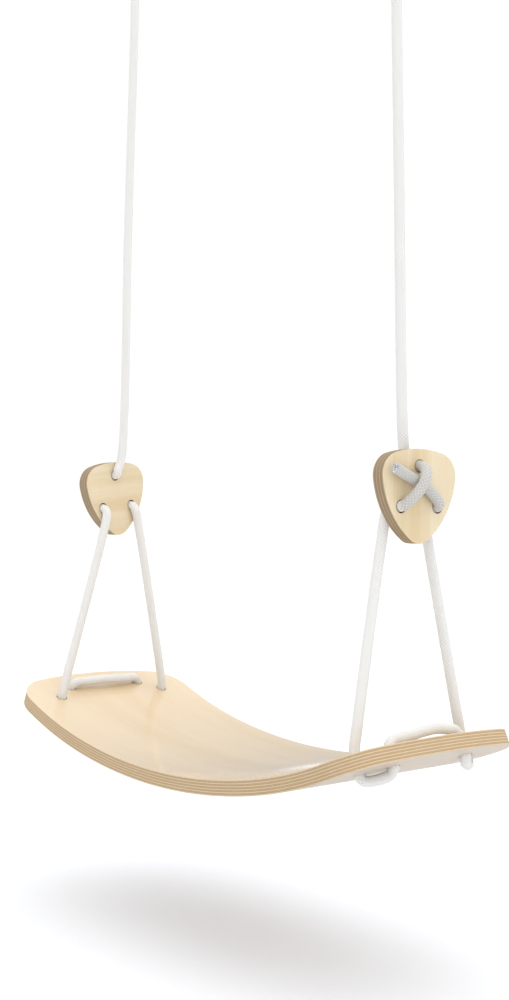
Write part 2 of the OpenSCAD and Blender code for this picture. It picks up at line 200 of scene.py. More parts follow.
def upper_route(side):
    return in_row(EYE + STANDING + held(INTO_ADJUSTER, side), side)


def lower_route(side):
    top = TOP_RAISED if side == "right" else TOP_FLAT
    stitch = UNDER + top[1:-1] + flip_y(UNDER)[::-1]
    legs = FRONT_LEG[:-1] + stitch + flip_y(FRONT_LEG)[::-1][1:]
    return in_row(held(CROSSING, side) + legs + held(TAIL + TAIL_END[side], side), side)


print("points on the right rope:", len(upper_route("right")), "and", len(lower_route("right")))

# %% [markdown]
# ## One smooth curve
# A rope has no corners, so the points are joined by a Catmull-Rom curve, which passes through
# every one of them. Its centripetal form keeps from looping where two points are close, as they
# are at each hole. The curve is then walked in even steps, so that the rope's rings are even too.

# %% Smooth and even out a route
STEP = 0.0016


def catmull_rom(a, b, c, d, t):
    """A point between b and c, centripetal, for t from 0 to 1."""
    k0, k1 = 0.0, max((b - a).length, 1e-6) ** 0.5
    k2 = k1 + max((c - b).length, 1e-6) ** 0.5
    k3 = k2 + max((d - c).length, 1e-6) ** 0.5
    k = k1 + (k2 - k1) * t
    ab = a * ((k1 - k) / (k1 - k0)) + b * ((k - k0) / (k1 - k0))
    bc = b * ((k2 - k) / (k2 - k1)) + c * ((k - k1) / (k2 - k1))
    cd = c * ((k3 - k) / (k3 - k2)) + d * ((k - k2) / (k3 - k2))
    abc = ab * ((k2 - k) / (k2 - k0)) + bc * ((k - k0) / (k2 - k0))
    bcd = bc * ((k3 - k) / (k3 - k1)) + cd * ((k - k1) / (k3 - k1))
    return abc * ((k2 - k) / (k2 - k1)) + bcd * ((k - k1) / (k2 - k1))


def evenly(points, step):
    """The same line with points an even step apart."""
    whole = line_length(points)
    count = max(2, round(whole / step))
    result, index, walked = [points[0].copy()], 0, 0.0
    for n in range(1, count):
        goal = whole * n / count
        while walked + (points[index + 1] - points[index]).length < goal:
            walked += (points[index + 1] - points[index]).length
            index += 1
        share = (goal - walked) / (points[index + 1] - points[index]).length
        result.append(points[index].lerp(points[index + 1], share))
    return result + [points[-1].copy()]


def line_length(points):
    return sum((b - a).length for a, b in zip(points, points[1:]))


def smooth_line(points, step=STEP):
    ends = [points[0] * 2 - points[1]] + points + [points[-1] * 2 - points[-2]]
    fine = []
    for a, b, c, d in zip(ends, ends[1:], ends[2:], ends[3:]):
        parts = max(4, int((c - b).length / 0.0005))
        fine += [catmull_rom(a, b, c, d, n / parts) for n in range(parts)]
    return evenly(fine + [points[-1]], step)


ROUTES = {(side, part): smooth_line(route(side)) for side in SIDES
          for part, route in (("upper", upper_route), ("lower", lower_route))}
for key, line in ROUTES.items():
    print(key, "rope:", round(line_length(line), 4), "m in", len(line), "points")

# %% [markdown]
# ## Writing finishes
# A finish is a tree of shader nodes. Wired by hand, even a short sum takes a dozen lines. The
# class `Value` stands for one output of a node and overloads + - * /, so that
# a line such as `1 - mask * 0.3` adds its own Math nodes. `Finish.add` puts in any other node.

# %% A small language for finishes
class Value:
    """One output of a node, which can be used in a sum."""

    def __init__(self, finish, socket):
        self.finish, self.socket = finish, socket

    def math(self, operation, *others, swapped=False):
        terms = [self, *others]
        if swapped:
            terms.reverse()
        node = self.finish.add("ShaderNodeMath", {"operation": operation}, dict(enumerate(terms)))
        return node[0]

    def __add__(self, other): return self.math("ADD", other)
    def __radd__(self, other): return self.math("ADD", other)
    def __sub__(self, other): return self.math("SUBTRACT", other)
    def __rsub__(self, other): return self.math("SUBTRACT", other, swapped=True)
    def __mul__(self, other): return self.math("MULTIPLY", other)
    def __rmul__(self, other): return self.math("MULTIPLY", other)
    def __truediv__(self, other): return self.math("DIVIDE", other)
    def __rtruediv__(self, other): return self.math("DIVIDE", other, swapped=True)


class Outputs:
    """A node's outputs, by name or by number."""

    def __init__(self, finish, node):
        self.finish, self.node = finish, node

    def __getitem__(self, key):
        return Value(self.finish, self.node.outputs[key])


class Finish:
    """A material while it is being written."""

    def __init__(self, name):
        self.material = bpy.data.materials.new(name)
        self.material.use_nodes = True
        self.tree = self.material.node_tree
        self.tree.nodes.clear()

    def add(self, kind, settings=None, sockets=None):
        node = self.tree.nodes.new(kind)
        for name, setting in (settings or {}).items():
            if name == "stops":
                self.set_stops(node.color_ramp, setting)
            else:
                setattr(node, name, setting)
        for name, given in (sockets or {}).items():
            if isinstance(given, Value):
                self.tree.links.new(given.socket, node.inputs[name])
            else:
                node.inputs[name].default_value = given
        return Outputs(self, node)

    @staticmethod
    def set_stops(ramp, stops):
        while len(ramp.elements) < len(stops):
            ramp.elements.new(1.0)
        for element, (place, colour) in zip(ramp.elements, stops):
            element.position = place
            element.color = (*colour, 1.0)

    def mix(self, share, first, second):
        """A colour part way from the first to the second."""
        colours = {name: given if isinstance(given, Value) else (*given, 1.0)
                   for name, given in (("A_Color", first), ("B_Color", second))}
        node = self.tree.nodes.new("ShaderNodeMix")
        node.data_type = "RGBA"
        for socket in node.inputs:
            given = colours.get(socket.identifier, share if socket.identifier == "Factor_Float" else None)
            if isinstance(given, Value):
                self.tree.links.new(given.socket, socket)
            elif given is not None:
                socket.default_value = given
        return Value(self, next(s for s in node.outputs if s.identifier == "Result_Color"))

    def smooth(self, value, low, high):
        """0 below low, 1 above high, and an even slope between."""
        return self.add("ShaderNodeMapRange", {"interpolation_type": "SMOOTHSTEP"},
                        {"Value": value, "From Min": low, "From Max": high})["Result"]

    def vector(self, x, y, z):
        return self.add("ShaderNodeCombineXYZ", {}, {"X": x, "Y": y, "Z": z})[0]

    def noise(self, place, scale, detail=2.0, roughness=0.5):
        return self.add("ShaderNodeTexNoise", {}, {"Vector": place, "Scale": scale, "Detail": detail,
                                                   "Roughness": roughness})[0]

    def surface(self, colour, roughness, height=None, relief=0.0, **constants):
        """The shader itself: a colour, a roughness and a relief in metres."""
        sockets = {"Base Color": colour if isinstance(colour, Value) else (*colour, 1.0),
                   "Roughness": roughness}
        if height is not None:
            sockets["Normal"] = self.add("ShaderNodeBump", {}, {"Height": height, "Distance": relief,
                                                                "Strength": 1.0})["Normal"]
        for name, value in constants.items():
            sockets[name.replace("_", " ").title().replace("Ior", "IOR")] = value
        shader = self.add("ShaderNodeBsdfPrincipled", {}, sockets)
        self.add("ShaderNodeOutputMaterial", {}, {"Surface": shader["BSDF"]})
        return self.material


def tint(red, green, blue):
    """A colour named as on a paint chart, 0 to 255, for a shader, which counts light evenly."""
    shares = (c / 255 for c in (red, green, blue))
    return tuple(s / 12.92 if s <= 10 / 255 else ((s + 0.055) / 1.055) ** 2.4 for s in shares)


# %% [markdown]
# ## Cotton rope
# The rope is a soft core under a close braided cover. Sixteen carriers of white cotton run each way
# round it, and every strand is a shallow ridge. Ridges this fine would need millions of
# faces, so they are relief in the finish. It needs to know where it is on the rope: `along`
# is the distance from the end, and `ring` points outwards across the rope. An angle would jump
# where it comes back to zero, but a direction does not.

# %% Cotton finishes
CARRIERS = 16
LAY = 0.026
ROPE_WHITE = tint(247, 246, 243)
ROPE_SHADE = tint(211, 209, 204)
OUTER_STRAND_GREY = tint(165, 163, 156)


def braided_cotton(name, carriers, lay, light, shade, relief):
    f = Finish(name)
    along = f.add("ShaderNodeAttribute", {"attribute_name": "along"})["Fac"]
    ring = f.add("ShaderNodeSeparateXYZ", {}, {
        0: f.add("ShaderNodeAttribute", {"attribute_name": "ring"})["Vector"]})
    turns = ring["Y"].math("ARCTAN2", ring["X"]) * (carriers / (2 * math.pi))
    climb = along * (carriers / lay)
    place = f.add("ShaderNodeTexCoord")["Object"]
    fuzz = f.noise(place, 900.0, 3.0, 0.7)
    patches = f.noise(place, 28.0, 2.0)
    ridges = []
    for way in (1, -1):
        lean = climb + turns * way
        ridges.append((lean * math.pi).math("SINE").math("ABSOLUTE"))
    over = f.smooth((climb * math.pi).math("SINE") * (turns * math.pi).math("COSINE"), -0.25, 0.25)
    weave = ridges[0] * over + ridges[1] * (1 - over)
    threads = ((climb * 5 + turns * 2) * math.pi).math("SINE") * 0.08
    height = weave + threads + fuzz * 0.35
    # painted shade: the sunken parts of the weave take the darker colour, and the ridges the lighter one
    colour = f.mix(weave * 0.85 + fuzz * 0.25, shade, light)
    colour = f.mix((patches - 0.5) * 0.25, colour, shade)
    # the strands on the outer face of an adjuster are made greyer, most of all where the weave sinks
    spot = f.add("ShaderNodeSeparateXYZ", {}, {0: place})
    outer_strand_share = f.smooth(spot["X"].math("ABSOLUTE"), 0.243, 0.250) * f.smooth(spot["Z"], -0.802, -0.785) \
        * (1 - f.smooth(spot["Z"], -0.735, -0.715))
    colour = f.mix(outer_strand_share * (0.85 - weave * 0.45), colour, OUTER_STRAND_GREY)
    return f.surface(colour, 0.86 + fuzz * 0.1, height, relief, sheen_weight=0.25, sheen_roughness=0.5,
                     specular_ior_level=0.25)


rope_cotton = braided_cotton("rope_cotton", CARRIERS, LAY, ROPE_WHITE, ROPE_SHADE, 0.00035)
twine_cotton = braided_cotton("twine_cotton", 3, 0.004, tint(228, 220, 203), tint(188, 176, 154), 0.0002)
print("cotton finishes:", rope_cotton.name, twine_cotton.name)

# %% [markdown]
# ## Geometry Nodes for anything that follows a line
# A rope could be a curve with a bevel, but a bevel has no way to write down `along` and
# `ring`. In Geometry Nodes, both are caught on the line and on the round section before the
# sweep joins them. A little seeded noise then makes the rope as uneven as soft cotton is.

# %% The sweep
class Tree:
    """A Geometry Nodes tree while it is being built."""

    def __init__(self, name, inputs):
        self.group = bpy.data.node_groups.new(name, "GeometryNodeTree")
        face = self.group.interface
        face.new_socket("Geometry", in_out="INPUT", socket_type="NodeSocketGeometry")
        face.new_socket("Geometry", in_out="OUTPUT", socket_type="NodeSocketGeometry")
        for label, kind in inputs:
            face.new_socket(label, in_out="INPUT", socket_type="NodeSocket" + kind)
        self.given = self.group.nodes.new("NodeGroupInput").outputs
        self.result = self.group.nodes.new("NodeGroupOutput").inputs["Geometry"]

    def add(self, kind, settings=None, sockets=None):
        node = self.group.nodes.new(kind)
        for name, setting in (settings or {}).items():
            setattr(node, name, setting)
        for name, given in (sockets or {}).items():
            if isinstance(given, bpy.types.NodeSocket):
                self.group.links.new(given, node.inputs[name])
            else:
                node.inputs[name].default_value = given
        return node.outputs

    def catch(self, geometry, value, kind):
        """Keeps a value on the points of a geometry."""
        node = self.group.nodes.new("GeometryNodeCaptureAttribute")
        node.capture_items.new(kind, "kept")
        self.group.links.new(geometry, node.inputs[0])
        self.group.links.new(value, node.inputs[1])
        return node.outputs[0], node.outputs[1]

    def finish(self, geometry):
        real = self.add("GeometryNodeRealizeInstances", {}, {0: geometry})[0]
        done = self.add("GeometryNodeSetMaterial", {},
                        {"Geometry": real, "Material": self.given["Finish"]})[0]
        self.group.links.new(done, self.result)
        return self.group


def sweep_tree():
    t = Tree("sweep_along_line", [("Radius", "Float"), ("Sides", "Int"), ("Unevenness", "Float"),
                                  ("Finish", "Material")])
    line = t.add("GeometryNodeMeshToCurve", {}, {0: t.given["Geometry"]})[0]
    line, along = t.catch(line, t.add("GeometryNodeSplineParameter")["Length"], "FLOAT")
    section = t.add("GeometryNodeCurvePrimitiveCircle", {}, {"Resolution": t.given["Sides"],
                                                             "Radius": t.given["Radius"]})[0]
    outwards = t.add("ShaderNodeVectorMath", {"operation": "NORMALIZE"},
                     {0: t.add("GeometryNodeInputPosition")[0]})[0]
    section, ring = t.catch(section, outwards, "VECTOR")
    tube = t.add("GeometryNodeCurveToMesh", {},
                 {"Curve": line, "Profile Curve": section, "Fill Caps": True})[0]
    for label, kind, value in (("along", "FLOAT", along), ("ring", "FLOAT_VECTOR", ring)):
        tube = t.add("GeometryNodeStoreNamedAttribute", {"data_type": kind},
                     {"Geometry": tube, "Name": label, "Value": value})[0]
    bumps = t.add("ShaderNodeTexNoise", {}, {"Scale": 90.0, "Detail": 1.0})[0]
    swell = t.add("ShaderNodeMath", {"operation": "MULTIPLY_ADD"}, {0: bumps, 1: 2.0, 2: -1.0})[0]
    swell = t.add("ShaderNodeMath", {"operation": "MULTIPLY"}, {0: swell, 1: t.given["Unevenness"]})[0]
    push = t.add("ShaderNodeVectorMath", {"operation": "SCALE"},
                 {0: t.add("GeometryNodeInputNormal")[0], "Scale": swell})[0]
    tube = t.add("GeometryNodeSetPosition", {}, {"Geometry": tube, "Offset": push})[0]
    tube = t.add("GeometryNodeSetShadeSmooth", {}, {0: tube, "Shade Smooth": True})[0]
    return t.finish(tube)


def line_object(name, points):
    mesh = bpy.data.meshes.new(name)
    mesh.from_pydata([tuple(p) for p in points], [(n, n + 1) for n in range(len(points) - 1)], [])
    return add_object(name, mesh)


def add_object(name, mesh):
    piece = bpy.data.objects.new(name, mesh)
    bpy.context.scene.collection.objects.link(piece)
    return piece


def grow(piece, tree, **inputs):
    """Runs a tree on a piece and keeps the result as its plain mesh."""
    modifier = piece.modifiers.new(tree.name, "NODES")
    modifier.node_group = tree
    for item in tree.interface.items_tree:
        if item.in_out == "INPUT" and item.name in inputs:
            modifier[item.identifier] = inputs[item.name]
    return settle(piece)


def settle(piece):
    """Turns what a piece's modifiers make into its plain mesh."""
    depsgraph = bpy.context.evaluated_depsgraph_get()
    made = bpy.data.meshes.new_from_object(piece.evaluated_get(depsgraph), preserve_all_data_layers=True,
                                           depsgraph=depsgraph)
    piece.modifiers.clear()
    piece.data = made
    made.name = piece.name
    return piece


SWEEP = sweep_tree()
print("sweep takes:", [i.name for i in SWEEP.interface.items_tree if i.in_out == "INPUT"])

# %% [markdown]
# ## The two ropes
# Each rope is one cord, but two joints of the model cut it: it slides past the adjuster, and
# the adjuster tips on it. So each is swept in two lengths that meet inside the adjuster's top
# hole, where nobody sees the seam. The upper one stretches between the hook and the adjuster,
# and the lower one between the adjuster and the seat.

# %% Sweep the ropes
ROPE_SIDES = 40
WHIPPING_LOW = -0.152
UPPER_NODES = ("rope_eye", "standing_rope")
LOWER_NODES = ("crossing_rope", "front_leg", "stitch", "rear_leg", "tail_rope")
ropes = {}


def sweep_rope(name, line, nodes):
    rope = line_object(name, line)
    grow(rope, SWEEP, Radius=ROPE_D / 2, Sides=ROPE_SIDES, Unevenness=0.0003, Finish=rope_cotton)
    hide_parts(*nodes)
    return rope


for side in SIDES:
    upper = sweep_rope(f"{side}_upper_rope", ROUTES[side, "upper"], [f"{side}_{n}" for n in UPPER_NODES])
    x = ROUTES[side, "upper"][0].x
    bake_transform(upper)
    lower = sweep_rope(f"{side}_lower_rope", ROUTES[side, "lower"], [f"{side}_{n}" for n in LOWER_NODES])
    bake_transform(lower)
    ropes[side] = (upper, lower)
    print(side, "rope:", len(upper.data.polygons), "and", len(lower.data.polygons), "faces")

# %% [markdown]
# ## The cut end of the tail
# The rope was cut square and left raw, so the core yarns show as a bunch of soft dots inside the
# cover. Points scattered over the cut, each at least a yarn's width from the next, carry a short
# blunt yarn, turned and sized at random from a fixed seed.

# %% Yarn ends
YARN_D = 0.0011


def yarn_tree():
    t = Tree("yarn_ends", [("Yarn", "Float"), ("Seed", "Int"), ("Finish", "Material")])
    spots = t.add("GeometryNodeDistributePointsOnFaces", {"distribute_method": "POISSON"},
                  {"Mesh": t.given["Geometry"], "Distance Min": YARN_D * 0.85, "Density Max": 4.0e6,
                   "Seed": t.given["Seed"]})
    yarn = t.add("GeometryNodeMeshUVSphere", {}, {"Segments": 10, "Rings": 6, "Radius": t.given["Yarn"]})[0]
    yarn = t.add("GeometryNodeTransform", {}, {"Geometry": yarn, "Scale": (1.0, 1.0, 1.7)})[0]
    size = t.add("FunctionNodeRandomValue", {"data_type": "FLOAT"}, {"Min": 0.75, "Max": 1.15,
                                                                     "Seed": t.given["Seed"]})
    size = next(s for s in size if s.enabled)
    bunch = t.add("GeometryNodeInstanceOnPoints", {}, {"Points": spots["Points"], "Instance": yarn,
                                                       "Rotation": spots["Rotation"], "Scale": size})[0]
    return t.finish(bunch)


def yarn_finish():
    f = Finish("yarn_cotton")
    place = f.add("ShaderNodeTexCoord")["Object"]
    lint = f.noise(place, 1400.0, 3.0, 0.6)
    tones = f.noise(place, 700.0, 0.0)
    colour = f.mix(f.smooth(tones, 0.38, 0.62), tint(150, 154, 164), tint(240, 240, 239))
    return f.surface(colour, 0.9 + lint * 0.05, lint, 0.0002, sheen_weight=0.2, specular_ior_level=0.2)


def disc(name, centre, normal, radius, sides=24):
    across = normal.orthogonal().normalized()
    over = normal.cross(across)
    rim = [centre + radius * (across * math.cos(a) + over * math.sin(a))
           for a in (2 * math.pi * n / sides for n in range(sides))]
    mesh = bpy.data.meshes.new(name)
    mesh.from_pydata([tuple(p) for p in rim], [], [tuple(range(sides))])
    return add_object(name, mesh)


YARNS = yarn_tree()
yarn_cotton = yarn_finish()
for seed, side in enumerate(SIDES):
    line = ROUTES[side, "lower"]
    outwards = (line[-1] - line[-3]).normalized()
    yarns = disc(f"{side}_tail_yarns", line[-1] - outwards * 0.0002, outwards, ROPE_D * 0.40)
    grow(yarns, YARNS, Yarn=YARN_D / 2, Seed=seed + 3, Finish=yarn_cotton)
    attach(yarns, "adjusters")
    print(side, "yarn ends:", len(yarns.data.polygons), "faces")

# %% [markdown]
# ## How long the cords are
# The ropes bend: it is limp rope, and here it hangs taut. Each rope's length along its curve
# is printed. The upper rope is held at both ends, and the lower one ends bare.

# %% Print the cord lengths
for side, (upper, lower) in ropes.items():
    for rope, part, end, more in ((upper, "upper", "object", []),
                                  (lower, "lower", "bare", [bpy.data.objects[f"{side}_tail_yarns"]])):
        line = ROUTES[side, part]
        tuple(line[0])
        round(line_length(line), 3)
        print(side, part, "cord:", round(line_length(line), 3), "m")

# %% [markdown]
# ## The whippings
# Twine wound tightly round both legs of an eye keeps it closed. Windings are one long thread, so
# the line climbs steadily round a slot shape, and the same sweep that made the rope follows it.

# %% Wind the whippings
WHIPPING_H = 0.016
TWINE_D = 0.0016
LEGS_APART = 0.0053


def around_slot(turn, reach, radius):
    """A point round a slot with round ends, for a turn from 0 to 1."""
    straight, bend = 2 * reach, math.pi * radius
    walk = (turn % 1.0) * (2 * straight + 2 * bend)
    for sign in (1, -1):
        if walk < straight:
            return Vector((sign * radius, sign * (walk - reach), 0))
        walk -= straight
        if walk < bend:
            angle = walk / radius
            return Vector((sign * radius * math.cos(angle), sign * (reach + radius * math.sin(angle)), 0))
        walk -= bend
    return Vector((radius, -reach, 0))


def winding(side):
    turns = int((WHIPPING_H - TWINE_D) / TWINE_D)
    base = Vector((SIDES[side] * 0.208, 0, WHIPPING_LOW + TWINE_D / 2))
    rise = WHIPPING_H - TWINE_D
    count = turns * 48
    return [base + around_slot(n / 48, LEGS_APART, ROPE_D / 2 + TWINE_D / 2 + 0.0002)
            + Vector((0, 0, rise * n / count)) for n in range(count + 1)]


for side in SIDES:
    twine = line_object(f"{side}_whipping_twine", winding(side))
    grow(twine, SWEEP, Radius=TWINE_D / 2, Sides=10, Unevenness=0.00008, Finish=twine_cotton)
    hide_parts(f"{side}_whipping")
    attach(twine, "swing_links")
    print(side, "whipping:", len(twine.data.polygons), "faces")

# %% [markdown]
# ## Plywood that is plywood all the way through
# Bent plywood is a stack of thin veneers, each glued with its grain across the last. Painting
# stripes on the edge would go wrong at every rounded corner and inside every hole. Instead each
# point of a board carries `ply_place`: how far along the grain, how far across, and how deep.
# The finish then reads its depth, as a saw does, and the layers come out right everywhere.

# %% Plywood finish
FACE_BIRCH = tint(221, 199, 164)
FACE_WARM = tint(213, 186, 147)
EDGE_LONG = tint(212, 190, 156)
EDGE_ACROSS = tint(181, 152, 114)
# painted shade: every edge of an adjuster is darkened by this factor
ADJUSTER_EDGE_PAINTED_SHADE = 0.62
PAINTED_UNDERSIDE_SHADE = tint(188, 176, 161)
GLUE = tint(128, 100, 72)
GLUE_HALF = 0.00009
PLY_RELIEF = 0.00008
LACQUER_ROUGH = 0.1
LACQUER_INDEX = 1.6
SEAT_LACQUER = 1.0
ADJUSTER_LACQUER = 0.1
SEAT_PLIES = 11
ADJUSTER_PLIES = 7
ADJUSTER_FACE = tint(230, 216, 187)
ADJUSTER_WARM = tint(215, 194, 153)
ADJUSTER_GROWTH = 48.0


def birch_plywood(name, plies, thickness, face, warm, coat, painted_edge_light=1.0, growth=21.0):
    """Veneers are counted from the face, and the odd ones run across the board."""
    f = Finish(name)
    place = f.add("ShaderNodeSeparateXYZ", {}, {
        0: f.add("ShaderNodeAttribute", {"attribute_name": "ply_place"})["Vector"]})
    along, across, depth = place["X"], place["Y"], place["Z"]
    ply = thickness / plies
    layer = depth / ply
    number = layer.math("FLOOR")
    inside = (layer - number) * ply
    odd = number.math("MODULO", 2.0)
    glue_near = (inside - ply / 2).math("ABSOLUTE")
    glue = f.smooth(glue_near, ply / 2 - 2.2 * GLUE_HALF, ply / 2 - 0.6 * GLUE_HALF)
    buried = f.smooth(depth, 0.0002, 0.0004) * f.smooth(thickness - depth, 0.0002, 0.0004)
    # grain runs along even veneers and across odd ones, and each veneer came off its own log
    step = number * 0.37
    run = along * (1 - odd) + across * odd
    side = across * (1 - odd) + along * odd
    figure = f.noise(f.vector(run * 2.2 + step, side * growth, step), 1.0, 3.0, 0.55)
    streaks = f.noise(f.vector(run * 9.0, side * 260.0 + step, depth * 40), 1.0, 3.0, 0.6)
    flecks = f.smooth(f.noise(f.vector(run * 110.0, side * 1500.0, depth * 300), 1.0, 1.0), 0.62, 0.78)
    end_fibres = f.noise(f.vector(run * 700.0, side * 700.0, depth * 700), 1.0, 2.0)
    tone = f.mix(f.smooth(figure, 0.30, 0.72), face, warm)
    tone = f.mix((streaks - 0.35) * 0.55, tone, tint(214, 186, 146))
    tone = f.mix(flecks * 0.22, tone, tint(190, 158, 116))
    edge = f.mix(odd * 0.85 + (end_fibres - 0.5) * 0.5, EDGE_LONG, EDGE_ACROSS)
    edge = f.mix((streaks - 0.4) * 0.4, edge, tint(160, 126, 88))
    edge = f.mix(glue * 0.6, edge, GLUE)
    # painted shade: the edge colour is darkened by this factor, 1 on the seat and less on the adjusters
    edge = f.mix(painted_edge_light, (0.0, 0.0, 0.0), edge)
    # painted shade: the underside, which faces the floor, is made darker and greyer; it is also left
    # unlacquered
    tone = f.mix(f.smooth(depth, 0.5 * thickness, 0.9 * thickness) * coat * 0.8, tone, PAINTED_UNDERSIDE_SHADE)
    colour = f.mix(buried, tone, edge)
    height = streaks * 0.3 + flecks * -0.5 + buried * (end_fibres * 0.6 + glue * -1.0)
    rough = 0.34 + streaks * 0.14 + buried * 0.4
    lacquer = (1 - f.smooth(depth, 0.0002, 0.001)) * coat
    return f.surface(colour, rough, height, PLY_RELIEF, coat_weight=lacquer,
                     coat_roughness=LACQUER_ROUGH, coat_ior=LACQUER_INDEX, specular_ior_level=0.45)


SEAT_T = 0.015
ADJUSTER_T = 0.0144
seat_birch = birch_plywood("seat_birch", SEAT_PLIES, SEAT_T, FACE_BIRCH, FACE_WARM, SEAT_LACQUER)
adjuster_birch = birch_plywood("adjuster_birch", ADJUSTER_PLIES, ADJUSTER_T, ADJUSTER_FACE, ADJUSTER_WARM,
                               ADJUSTER_LACQUER, ADJUSTER_EDGE_PAINTED_SHADE, ADJUSTER_GROWTH)
print("plywood:", seat_birch.name, adjuster_birch.name)

# %% [markdown]
# ## Sawing a blank
# Both kinds of board start as in a workshop: a flat blank is sawn to its outline, its
# rope holes are drilled, and every edge gets a small round. A drilled hole could be modelled
# in the mesh by hand, but a Boolean is the drill itself. The round is one Bevel on every sharp edge.

# %% A flat board
def flat_prism(name, outline, low, high):
    bm = bmesh.new()
    face = bm.faces.new([bm.verts.new((x, y, low)) for x, y in outline])
    grown = bmesh.ops.extrude_face_region(bm, geom=[face])["geom"]
    moved = [g for g in grown if isinstance(g, bmesh.types.BMVert)]
    bmesh.ops.translate(bm, vec=(0, 0, high - low), verts=moved)
    bmesh.ops.recalc_face_normals(bm, faces=bm.faces)
    mesh = bpy.data.meshes.new(name)
    bm.to_mesh(mesh)
    bm.free()
    return add_object(name, mesh)


def circle(x, y, radius, sides=48):
    return [(x + radius * math.cos(a), y + radius * math.sin(a))
            for a in (2 * math.pi * n / sides for n in range(sides))]


def drill(board, places, radius, thickness):
    for number, (x, y) in enumerate(places):
        bit = flat_prism(f"drill_{number}", circle(x, y, radius), -2 * thickness, thickness)
        modifier = board.modifiers.new("drill", "BOOLEAN")
        modifier.operation, modifier.object, modifier.solver = "DIFFERENCE", bit, "EXACT"
        settle(board)
        bpy.data.objects.remove(bit)


def round_edges(board, radius, segments):
    modifier = board.modifiers.new("round", "BEVEL")
    modifier.width, modifier.segments = radius, segments
    modifier.limit_method, modifier.angle_limit = "ANGLE", math.radians(50)
    settle(board)


def sawn_board(name, outline, thickness, holes, hole_radius, round_radius):
    """A flat board with its face at z = 0 and its back below."""
    board = flat_prism(name, outline, -thickness, 0)
    drill(board, holes, hole_radius, thickness)
    round_edges(board, round_radius, 4)
    return board


def shape_board(board, cuts, place_of, move):
    """Cuts a flat board into strips, writes down each point's place in the wood, and moves the points."""
    bm = bmesh.new()
    bm.from_mesh(board.data)
    bmesh.ops.triangulate(bm, faces=bm.faces)
    for x in cuts:
        bmesh.ops.bisect_plane(bm, geom=bm.verts[:] + bm.edges[:] + bm.faces[:], plane_co=(x, 0, 0),
                               plane_no=(1, 0, 0), dist=1e-6)
    bmesh.ops.triangulate(bm, faces=bm.faces)
    layer = bm.verts.layers.float_vector.new("ply_place")
    for vertex in bm.verts:
        vertex[layer] = place_of(vertex.co)
        vertex.co = move(vertex.co.copy())
    bmesh.ops.recalc_face_normals(bm, faces=bm.faces)
    for face in bm.faces:
        face.smooth = True
    bm.to_mesh(board.data)
    bm.free()
    modifier = board.modifiers.new("shading", "WEIGHTED_NORMAL")
    modifier.weight, modifier.keep_sharp = 60, True
    return settle(board)


# %% [markdown]
# ## The seat
# A seat this shape is pressed: veneers and glue go between two curved moulds, a gentle arc in
# the middle and a tighter one towards each end. The blank is worked out as if unrolled, with
# bowed ends and round corners, and each point is then bent on to the arcs, its depth kept
# square to the face. Cutting the blank into narrow strips first is what lets it bend.

# %% Press the seat
SEAT_LEN, SEAT_W = 0.584, 0.219
MID_R, END_R, MID_HALF = 0.725, 0.560, 0.140
END_BULGE, CORNER_R = 0.015, 0.040
HOLE_R = 0.006
OUTER_HOLE, INNER_HOLE = (0.244, 0.070), (0.263, 0.047)
SEAT_ROUND = 0.0014
STRIP = 0.005
MID_TURN = MID_HALF / MID_R


def arc(centre, radius, start, end, steps):
    return [(centre[0] + radius * math.cos(a), centre[1] + radius * math.sin(a))
            for a in (start + (end - start) * n / steps for n in range(steps + 1))]


def seat_outline():
    bow = (SEAT_W ** 2 / 4 + END_BULGE ** 2) / (2 * END_BULGE)
    corner_y = SEAT_W / 2 - CORNER_R
    corner_x = math.sqrt((bow - CORNER_R) ** 2 - corner_y ** 2) - bow + SEAT_LEN / 2
    turn = math.asin(corner_y / (bow - CORNER_R))
    end = (arc((corner_x, -corner_y), CORNER_R, -math.pi / 2, -turn, 18)
           + arc((SEAT_LEN / 2 - bow, 0), bow, -turn, turn, 30)[1:-1]
           + arc((corner_x, corner_y), CORNER_R, turn, math.pi / 2, 18))
    return end + [(-x, -y) for x, y in end]


def press(point):
    """Bends a point of the flat board on to the two arcs."""
    along = min(abs(point.x), MID_HALF)
    turn = along / MID_R + (abs(point.x) - along) / END_R
    side = math.copysign(1.0, point.x)
    x = (MID_R - END_R) * math.sin(MID_TURN) + END_R * math.sin(turn)
    z = MID_R - (MID_R - END_R) * math.cos(MID_TURN) - END_R * math.cos(turn)
    if along < MID_HALF:
        x, z = MID_R * math.sin(turn), MID_R * (1 - math.cos(turn))
    return Vector((side * (x - math.sin(turn) * point.z), point.y, z + math.cos(turn) * point.z - DROP))


holes = [(sx * x, sy * y) for x, y in (OUTER_HOLE, INNER_HOLE) for sx in (1, -1) for sy in (1, -1)]
seat = sawn_board("seat_plywood", seat_outline(), SEAT_T, holes, HOLE_R, SEAT_ROUND)
strips = [n * STRIP for n in range(-int(SEAT_LEN / 2 / STRIP), int(SEAT_LEN / 2 / STRIP) + 1)]
shape_board(seat, strips, lambda p: Vector((p.x, p.y, -p.z)), press)
seat.data.materials.clear()
seat.data.materials.append(seat_birch)
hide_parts("seat_board")
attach(seat, "seat")
print("seat:", len(seat.data.polygons), "faces,", tuple(round(d, 4) for d in seat.dimensions))

# %% [markdown]
# ## The adjusters
# An adjuster is a rounded triangle, point down. Its outline is five arcs that run into each
# other: a broad crown, two shoulders, two flanks and a nose. Where two arcs meet, one circle
# touches the other from inside, so the line has no corner.

# %% Saw the adjusters
ADJUSTER_TOP, ADJUSTER_ROW, ADJUSTER_HOLE_Y = 0.0156, 0.0365, 0.0215
ADJUSTER_ROUND = 0.0018
SHOULDER, SHOULDER_R = Vector((0.022, ADJUSTER_TOP - 0.024)), 0.021
NOSE, NOSE_R = Vector((0.0, ADJUSTER_TOP - 0.0685)), 0.017
CROWN, CROWN_R = Vector((0.0, ADJUSTER_TOP - 0.1032)), 0.1032
FLANK_R = 0.080


